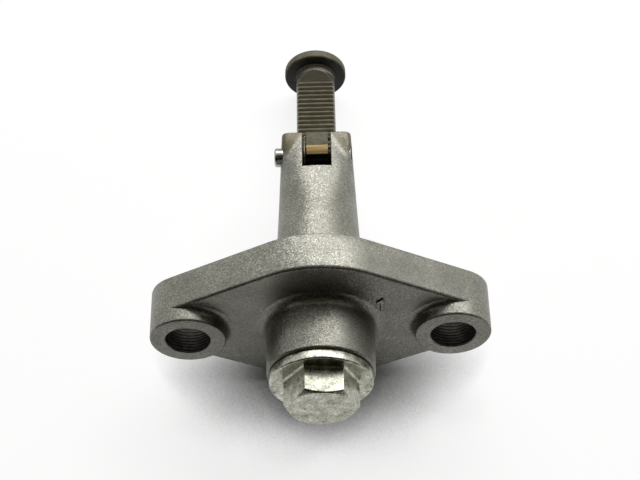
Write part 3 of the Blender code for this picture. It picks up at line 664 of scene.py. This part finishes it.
def boltBodyProfile():
    # shank with its pocket for the spring, then the flange with a lip round the seal and a rounded rim
    radius, edge, shank = capBolt["flangeRadius"], capBolt["flangeRound"], capBolt["shankRadius"]
    seat, end, lip = capBolt["seatY"], capBolt["shankEndY"], bossFaceY - capBolt["lipGap"]
    bottom, pocket, chamfer = end - capBolt["pocketDepth"], capBolt["pocket"], capBolt["shankChamfer"]
    dishY, lipRadius, ease = capFaceY + capBolt["dish"], capBolt["lipRadius"], capBolt["lipEase"]
    return np.concatenate([
        [(bottom, 0.5), (bottom, pocket), (end, pocket), (end, shank - chamfer), (end - chamfer, shank),
         (seat, shank), (seat, lipRadius), (lip, lipRadius), (lip, radius - ease),
         (lip - ease * 0.3, radius - ease * 0.3), (lip - ease, radius)],
        arcPoints((capFaceY + edge, radius - edge), edge, quarterTurn, halfTurn, 6),
        [(capFaceY + sink, radius - edge - 0.15), (dishY, capBolt["acrossFlats"] * 0.62), (dishY, 3.0)]])


def hexGrid():
    # rounded hexagon outline; where it lies outside the face circle its rows fall back along a cone
    flat, rounding, face = capBolt["acrossFlats"] / 2, capBolt["cornerRound"], capBolt["faceRadius"]
    slope, edge, fillet = math.tan(capBolt["chamfer"]), capBolt["edgeRound"], capBolt["baseFillet"]
    sixth = math.pi / 3
    corner = (flat - rounding) / math.cos(sixth / 2)
    outline = []
    for k in range(6):
        turn = sixth * (k + 1) - capBolt["turn"]
        centre = (corner * math.cos(turn), corner * math.sin(turn))
        outline.append(arcPoints(centre, rounding, turn - sixth / 2, turn + sixth / 2, 6))
    loop = resample(np.concatenate(outline + [outline[0][:1]]), 361)[:-1]
    reach = np.hypot(*loop.T)
    held = np.minimum(reach, face)
    baseY = capFaceY + capBolt["dish"]
    rows = [placed(loop, baseY + buried)]
    for a in np.linspace(0, quarterTurn, 7):
        wider = 1 + fillet * (1 - math.sin(a)) / flat
        rows.append(placed(loop * wider, baseY - fillet * (1 - math.cos(a))))
    for lift, pull in ((1.0, 0.0), (0.45, 0.05), (0.12, 0.25), (0.0, 0.7)):
        inner = loop * (1 - edge * pull / reach)[:, None]
        fall = np.maximum(np.hypot(*inner.T) - face, 0.0) * slope
        rows.append(placed(inner, capEndY + fall + edge * lift))
    for share in (0.35, 0.7, 1.0):
        radius = (reach - edge * pull) * (1 - share) + (held - sink) * share
        fall = np.maximum(radius - face, 0.0) * slope
        rows.append(placed(loop * (radius / reach)[:, None], capEndY + fall))
    for share in (0.9, 0.6, 0.3, 0.05):
        rows.append(placed(loop * (held * share / reach)[:, None], capEndY))
    return rows


def sealProfile():
    # flat ring with a slightly bulged rim
    back, half = bossFaceY - seal["gap"], seal["thickness"] / 2
    rim = arcPoints((back - half, seal["outer"] - seal["bulge"]), half, 0, halfTurn, 8)
    return np.concatenate([[(back, seal["inner"])], rim, [(back - 2 * half, seal["inner"])]])


capBody = addShell("capBoltBody", turnedGrid(boltBodyProfile(), 192), [zincSkin], "housing")
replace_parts(capBody, "cap_bolt")
addShell("capBoltHexagon", hexGrid(), [zincSkin], "housing", sharpAngle=28)
capSeal = addShell("capSeal", turnedGrid(sealProfile(), 160), [sealRubber], "housing",
                   wrapRows=True)
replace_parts(capSeal, "cap_seal")
print("cap bolt and seal made")


# Plunger with its rack

plunger = {
    "radius": 3.4, "standoff": 18.37, "tail": 22.5, "chamfer": 0.4, "clearance": 0.3,
    "headRadius": 5.45, "headThickness": 1.7, "headRound": 0.36, "crown": 0.3, "padRadius": 3.0,
    "rootFillet": 0.3, "neck": 1.5, "boreRadius": 2.4, "boreDepth": 14.5, "edgeEase": 0.12,
    "bellyColumns": 97,
}
headY = nose["length"] + plunger["standoff"]
flatStartY = pinY - pin["radius"] - plunger["clearance"]
tailY = nose["length"] - plunger["tail"]
runoutLength = (plunger["radius"] - rack["height"]) / math.tan(rack["runoutAngle"])
firstCrest = headY - plunger["neck"] - runoutLength - rack["steep"]


def rackLine():
    # (y, height) along the flat: a plain land of three points, saw teeth of eight points with worn
    # crests, then the sloping run-out; the last tooth ends at its crest
    top, root = rack["height"], rack["height"] - rack["depth"]
    crest = firstCrest - rack["pitch"] * np.arange(rack["teeth"] - 1, -1, -1)
    shape = np.array([[-0.16, root + 0.02], [-0.125, root + 0.06], [-0.045, top - 0.05], [0.0, top],
                      [0.07, top - 0.008], [0.13, top - 0.05], [0.80, root + 0.03], [0.83, root]])
    teeth = (crest[:, None, None] * np.array([1.0, 0.0]) + shape).reshape(-1, 2)
    land = [(flatStartY - 0.3, top), (teeth[0, 0] - 0.25, top), (teeth[0, 0] - 0.05, root + 0.05)]
    fillet = arcPoints((firstCrest + rack["steep"], top + rack["runoutFillet"]), rack["runoutFillet"],
                       -quarterTurn, rack["runoutAngle"] - quarterTurn, 6)
    rise = plunger["radius"] - fillet[-1, 1]
    share = np.linspace(0.0, 1.0, 14)[1:, None]
    slope = fillet[-1] + share * np.array([rise / math.tan(rack["runoutAngle"]), rise])
    return np.concatenate([land, teeth[:-4], fillet, slope])


def rodRing(y, height, flatCount=24):
    # circle cut by a flat at the rack's height, with its two long edges eased
    radius = plunger["radius"]
    height = min(height, radius)
    angle = math.asin(height / radius)
    chord = radius * math.cos(angle)
    ease = min(plunger["edgeEase"], chord * 0.5)
    start, end = halfTurn - angle + ease / radius, fullTurn + angle - ease / radius
    belly = arcPoints((0, 0), radius, start, end, plunger["bellyColumns"] - 1)
    share = np.linspace(0, 1, 6)[:, None]
    inner, corner = np.array([chord - ease, height]), np.array([chord, height])
    bend = (1 - share) ** 2 * belly[-1] + 2 * share * (1 - share) * corner + share ** 2 * inner
    flat = np.stack([np.linspace(chord - ease, ease - chord, flatCount), np.full(flatCount, height)], 1)
    return placed(np.concatenate([belly, bend[1:-1], flat, (bend[1:-1] * (-1, 1))[::-1]]), y)


def rodGrid():
    rows = [rodRing(y, height) for y, height in rackLine()]
    return rows + [rodRing(y, plunger["radius"]) for y in (headY - 0.9, headY + 0.5)]


def tailProfile():
    # cup: spring bore inside, chamfered mouth, ends at the shoulder behind the flat
    end, radius, bore = tailY + plunger["boreDepth"], plunger["radius"], plunger["boreRadius"]
    return [(end + 0.8, 0.6), (end, bore), (tailY + 0.1, bore), (tailY, bore + 0.1),
            (tailY, radius - plunger["chamfer"]), (tailY + plunger["chamfer"], radius),
            (flatStartY - 0.12, radius), (flatStartY - 0.03, radius - 0.03), (flatStartY, radius - 0.12),
            (flatStartY, 0.3)]


def headProfile():
    # fillet out of the neck, flat underside, rounded rim, low crown and flat pad
    radius, edge, fillet = plunger["headRadius"], plunger["headRound"], plunger["rootFillet"]
    top, pad = headY + plunger["headThickness"], plunger["padRadius"]
    lean = math.atan2(plunger["crown"], radius - edge - pad)
    return np.concatenate([
        [(headY - fillet - 0.1, plunger["radius"] - 0.05)],
        arcPoints((headY - fillet, plunger["radius"] + fillet), fillet, -quarterTurn, 0, 5),
        arcPoints((headY + edge, radius - edge), edge, halfTurn, quarterTurn, 6),
        arcPoints((top - edge, radius - edge), edge, quarterTurn, lean, 6),
        [(top + plunger["crown"], pad), (top + plunger["crown"], 0.3)]])


bellyEnd = plunger["bellyColumns"]
rodPaint = [(2, (3 + 8 * i, 6 + 8 * i), (bellyEnd, None)) for i in range(rack["teeth"])]  # steep flanks, painted light
rodPaint += [(1, (None,), (0, bellyEnd)),      # round side
             (2, (-16, None), (bellyEnd, None)),  # run-out, painted light
             (2, (-2, None), (None,))]            # neck, painted light
rod = addShell("plungerRod", rodGrid(), [darkSteel, slideSteel, paintedLightPhosphate], "plunger",
               paint=rodPaint)
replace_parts(rod, "plunger")
addShell("plungerTail", turnedGrid(tailProfile(), 128), [darkSteel], "plunger")
# the fillet out of the neck carries painted light, the underside painted shade
addShell("plungerHead", turnedGrid(headProfile(), 160), [darkSteel, paintedShadeSteel, paintedLightPhosphate], "plunger",
         paint=[(2, (0, 5), (None,)), (1, (5, 8), (None,))])
print("plunger made")


# Pawl

def toothLine(low, high, shiftY, shiftZ):
    # saw teeth between two places, moved by the pawl's lash and its gap to the rack
    crest = firstCrest + shiftY - rack["pitch"] * np.arange(25, -2, -1)
    top, root = rack["height"] + shiftZ, rack["height"] - rack["depth"] + shiftZ
    feet = np.stack([crest - rack["steep"], np.full_like(crest, root)], 1)
    tips = np.stack([crest, np.full_like(crest, top)], 1)
    corners = np.stack([feet, tips], 1).reshape(-1, 2)
    inside = corners[(corners[:, 0] > low) & (corners[:, 0] < high)]
    ends = np.interp([low, high], corners[:, 0], corners[:, 1])
    return np.concatenate([[(low, ends[0])], inside, [(high, ends[1])]])


def pawlOutline():
    # toe teeth below, flat top, ground slope, lip and the open saddle that hangs on the pin
    saddle = pin["radius"] + pawl["saddleGap"]
    fall = rack["depth"] / (rack["pitch"] - rack["steep"])
    teeth = toothLine(pinY + pawl["heelRun"], nose["length"], -pawl["lash"],
                      pawl["lash"] * fall + pawl["toothGap"])
    topZ = tipTop - pawl["topSink"]
    outer = saddle + pawl["lip"]
    lipEnd = (pinY + outer * math.cos(pawl["lipAngle"]), pinZ + outer * math.sin(pawl["lipAngle"]))
    crown = [(nose["length"], topZ), (pinY + pawl["slopeRun"], topZ), lipEnd]
    under = arcPoints((pinY, pinZ), saddle, pawl["lipAngle"], pawl["heelAngle"], 24)
    return np.concatenate([teeth, crown, under]), len(teeth) + 1  # the slope starts at the crown's second


outline, slopeStart = pawlOutline()
points, faces = prism(*([(pawl["offset"] + side * pawl["width"] / 2, y, z) for y, z in outline]
                        for side in (-1, 1)))
ground = [0] * len(faces)
ground[2 + slopeStart] = 1
pawlPiece = addMesh("ratchetPawl", points, faces, [pawlSkin, bronzeSkin], "pawl", ground)
addBevel(pawlPiece, pawl["edge"], 3, 25)
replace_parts(pawlPiece, "pawl")
print("pawl made")


# Springs

pawlWire = {"radius": 0.18, "gap": 0.15, "bend": 0.29, "footAngle": math.radians(190.0), "footRise": 0.3,
            "hook": 0.9, "hookRise": 0.2, "sides": 16}


def pawlWirePath():
    # slot's rear wall, half round the pin, along the pawl, through its eye and back as a short hook
    eyeY, eyeZ = nose["length"] - pawl["eyeSetback"], tipTop - pawl["eyeDrop"]
    middle = (nose["slotWidth"] + pawl["width"]) / 4
    near, far = pawl["offset"] / 2 - middle, pawl["offset"] / 2 + middle
    reach, bend = pin["radius"] + pawlWire["gap"] + pawlWire["radius"], pawlWire["bend"]
    arc = arcPoints((pinY, pinZ), reach, pawlWire["footAngle"], quarterTurn, 36)
    footZ = pinZ + reach * math.sin(pawlWire["footAngle"]) + pawlWire["footRise"]
    side = np.concatenate([[(slotStart + pawlWire["gap"], footZ)], arc, [(eyeY - bend, eyeZ)]])
    path = [(near, y, z) for y, z in side]
    path += [(x, y, eyeZ) for x, y in
             arcPoints((near + bend, eyeY - bend), bend, halfTurn, quarterTurn, 6)[1:]]
    path += [(x, y, eyeZ) for x, y in arcPoints((far - bend, eyeY - bend), bend, quarterTurn, 0, 6)]
    path.append((far, eyeY - pawlWire["hook"], eyeZ + pawlWire["hookRise"]))
    return resample(np.array(path), 180)


coil = {"outer": 2.1, "wire": 0.35, "turns": 16, "turnGap": 0.04, "startY": -8.65, "endY": 20.3,
        "steps": 28, "sides": 10}


def coilPath():
    # helix about the plunger's axis; its first and last turns lie closed
    count = coil["turns"] * coil["steps"]
    turn = np.arange(count + 1) * fullTurn / coil["steps"]
    share = np.linspace(0.0, 1.0, count + 1)
    closed, rise = 1 / coil["turns"], 2 * coil["wire"] + coil["turnGap"]
    low, high = coil["startY"] + coil["wire"], coil["endY"] - coil["wire"]
    y = np.interp(share, [0, closed, 1 - closed, 1], [low, low + rise, high - rise, high])
    radius = coil["outer"] - coil["wire"]
    return np.stack([radius * np.cos(turn), y, radius * np.sin(turn)], 1)


pawlSpring = addShell("pawlSpringWire", tubeGrid(pawlWirePath(), pawlWire["radius"], pawlWire["sides"]),
                      [wireSteel], None)
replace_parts(pawlSpring, "pawl_spring")
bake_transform(pawlSpring)
plungerSpring = addShell("plungerCoil", tubeGrid(coilPath(), coil["wire"], coil["sides"], (0, 1, 0)),
                         [wireSteel], None)
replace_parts(plungerSpring, "plunger_spring")
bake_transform(plungerSpring)
print("springs made")


# Floor, light and camera

def addStage(name, corners, material):
    mesh = bpy.data.meshes.new(name)
    mesh.from_pydata((np.asarray(corners, float) * mm).tolist(), [], [list(range(len(corners)))])
    mesh.materials.append(material)
    item = addObject(name, mesh)
    return item


def seenRays(tree):
    # 1 for rays from the camera and for rays mirrored or bent by a piece
    path = addNode(tree, "LightPath")
    first = addNode(tree, "Math", {0: path.outputs["Is Camera Ray"], 1: path.outputs["Is Glossy Ray"]},
                    operation="MAXIMUM")
    both = addNode(tree, "Math", {0: first, 1: path.outputs["Is Transmission Ray"]}, operation="MAXIMUM")
    return both.outputs[0]


studio = {
    "floorShade": "#9a9a9a", "seenShade": "#8c8c8c", "floorGlow": 0.85, "skyDiffuse": 0.12,
    "shadowReach": 25.0, "contactReach": 12.0,  # how far round the part the wide and the near painted shadow reach
    "shut": 0.47, "open": 0.78,                 # openness at which the glow starts and is full
    "behind": (-6.0, 24.0),                     # past these places no shadow is painted on the floor
    "farGlow": 0.15, "far": (100.0, 700.0),     # painted light: more glow past the lamp's pool of light
    "rearY": 0.0, "rearZ": -15.8, "tipY": 47.4, "tipZ": -5.4,  # the part lies on its plate and its head
    "reach": 1500.0,
}


def paleFloor():
    # matt pale table; seen rays find it glowing white, with a painted shadow close round the part where the
    # floor is closed in, none painted behind it, and painted light far out
    material, tree, shader, place = newMaterial("paleTable")
    plain = addNode(tree, "BsdfDiffuse", {"Color": linear(studio["floorShade"])})
    # painted shadow: the glow dims where the part closes in the floor within these reaches
    wide = addNode(tree, "AmbientOcclusion", {"Distance": studio["shadowReach"] * mm}, samples=8)
    near = addNode(tree, "AmbientOcclusion", {"Distance": studio["contactReach"] * mm}, samples=8)
    depth = addNode(tree, "SeparateXYZ", {"Vector": place}).outputs["Y"]
    low, high = studio["behind"]
    behind = addNode(tree, "MapRange", {"Value": depth, "From Min": low * mm, "From Max": high * mm},
                     interpolation_type="SMOOTHSTEP")
    openSky = addNode(tree, "Math", {0: wide.outputs["AO"], 1: behind}, operation="ADD")
    white = addNode(tree, "MapRange", {"Value": openSky, "From Min": studio["shut"],
                                       "From Max": studio["open"], "To Max": studio["floorGlow"]},
                    interpolation_type="SMOOTHSTEP")
    contact = addNode(tree, "Math", {0: near.outputs["AO"], 1: behind}, operation="ADD", use_clamp=True)
    squared = addNode(tree, "Math", {0: contact, 1: contact}, operation="MULTIPLY")
    distance = addNode(tree, "VectorMath", {0: place}, operation="LENGTH").outputs["Value"]
    low, high = studio["far"]
    far = addNode(tree, "MapRange", {"Value": distance, "From Min": low * mm, "From Max": high * mm,
                                     "To Max": studio["farGlow"]})
    glow = addNode(tree, "Math", {0: white, 1: squared, 2: far}, operation="MULTIPLY_ADD")
    seen = addNode(tree, "BsdfDiffuse", {"Color": linear(studio["seenShade"])})
    lit = addNode(tree, "AddShader", {0: seen, 1: addNode(tree, "Emission", {"Strength": glow})})
    upper = addNode(tree, "MixShader", {0: seenRays(tree), 1: plain, 2: lit})
    below = addNode(tree, "NewGeometry").outputs["Backfacing"]
    sided = addNode(tree, "MixShader", {0: below, 1: upper, 2: addNode(tree, "BsdfTransparent")})
    join(tree, tree.nodes["Material Output"], {"Surface": sided})
    tree.nodes.remove(shader)
    return material


floorSlope = (studio["tipZ"] - studio["rearZ"]) / (studio["tipY"] - studio["rearY"])
floorPlan = np.array([(-1, -1), (1, -1), (1, 1), (-1, 1)]) * studio["reach"]
addStage("tableTop", [(x, y, studio["rearZ"] + (y - studio["rearY"]) * floorSlope - sink)
                      for x, y in floorPlan], paleFloor())

world = bpy.data.worlds.new("whiteRoom")
world.use_nodes = True
bpy.context.scene.world = world
sky = world.node_tree
strength = addNode(sky, "MapRange", {"Value": seenRays(sky), "To Min": studio["skyDiffuse"], "To Max": 1.0})
join(sky, sky.nodes["Background"], {"Color": (1, 1, 1, 1), "Strength": strength})


def aimed(place, target):
    # turns -Z from the place toward the target, with X kept level
    place, target = np.asarray(place, float), np.asarray(target, float)
    back = (place - target) / np.linalg.norm(place - target)
    side = np.cross((0.0, 0.0, 1.0), back)
    side /= np.linalg.norm(side)
    turn = np.eye(4)
    turn[:3, 0], turn[:3, 1], turn[:3, 2], turn[:3, 3] = side, np.cross(back, side), back, place * mm
    return Matrix(turn.tolist())


window = {"place": (98, 346, 476), "target": (0, 5, 0), "size": (760, 230), "power": 3.1}
light = bpy.data.lights.new("windowLight", "AREA")
light.shape = "RECTANGLE"
light.size, light.size_y = window["size"][0] * mm, window["size"][1] * mm
light.energy = window["power"]
addObject("windowLight", light).matrix_world = aimed(window["place"], window["target"])

roomSide = 420  # half width of the room that metal mirrors


def levelCard(side, low, high):
    # corners between two level edges, each at its own (y, z)
    return [(-side, *low), (side, *low), (side, *high), (-side, *high)]


def sideCard(x):
    return [(x, y, z) for y, z in ((-270, -76), (-270, 260), (60, 260), (60, -76))]


cards = {  # shade, glow and corners of cards that metal mirrors and the camera never sees
    "roomBack": ("#1e1d1b", 0.0, levelCard(roomSide, (-270, -76), (-210, 330))),
    "roomTop": ("#4a4433", 0.8, levelCard(roomSide, (-210, 330), (40, 560))),
    "roomLeft": ("#1e1d1b", 0.0, sideCard(-roomSide)),
    "roomRight": ("#1e1d1b", 0.0, sideCard(roomSide)),
    "roomFar": ("#6b6b69", 1.0, levelCard(260, (420, 0), (400, 235))),
}
for name, (shade, glow, corners) in cards.items():
    material, tree, shader = newMaterial(name)[:3]
    join(tree, shader, {"Base Color": linear(shade), "Roughness": 1.0, "Specular IOR Level": 0.0,
                        "Emission Color": linear(shade), "Emission Strength": glow})
    item = addStage(name, corners, material)
    item.visible_camera = item.visible_shadow = False

view = {"place": (1.079, -110.671, 164.366), "down": math.radians(53.614), "yaw": math.radians(-0.401),
        "roll": math.radians(-1.693), "focalPixels": 1249.7, "pictureWidth": 640, "sensor": 36}


def cameraMatrix():
    # columns: right, up and backward, turned by the roll about the line of sight
    down, yaw, roll = view["down"], view["yaw"], view["roll"]
    ahead = np.array([math.sin(yaw) * math.cos(down), math.cos(yaw) * math.cos(down), -math.sin(down)])
    right = np.array([math.cos(yaw), -math.sin(yaw), 0.0])
    up = np.cross(right, ahead)
    turn = np.eye(4)
    turn[:3, 0] = math.cos(roll) * right + math.sin(roll) * up
    turn[:3, 1] = math.cos(roll) * up - math.sin(roll) * right
    turn[:3, 2] = -ahead
    turn[:3, 3] = np.array(view["place"]) * mm
    return Matrix(turn.tolist())


camera = bpy.data.cameras.new("photoCamera")
camera.lens = view["focalPixels"] * view["sensor"] / view["pictureWidth"]
camera.sensor_width = view["sensor"]
camera.clip_start, camera.clip_end = 0.005, 20
cameraHolder = addObject("photoCamera", camera)
cameraHolder.matrix_world = cameraMatrix()
bpy.context.scene.camera = cameraHolder
bpy.context.scene.view_settings.view_transform = "Standard"
print("stage, light and camera made")
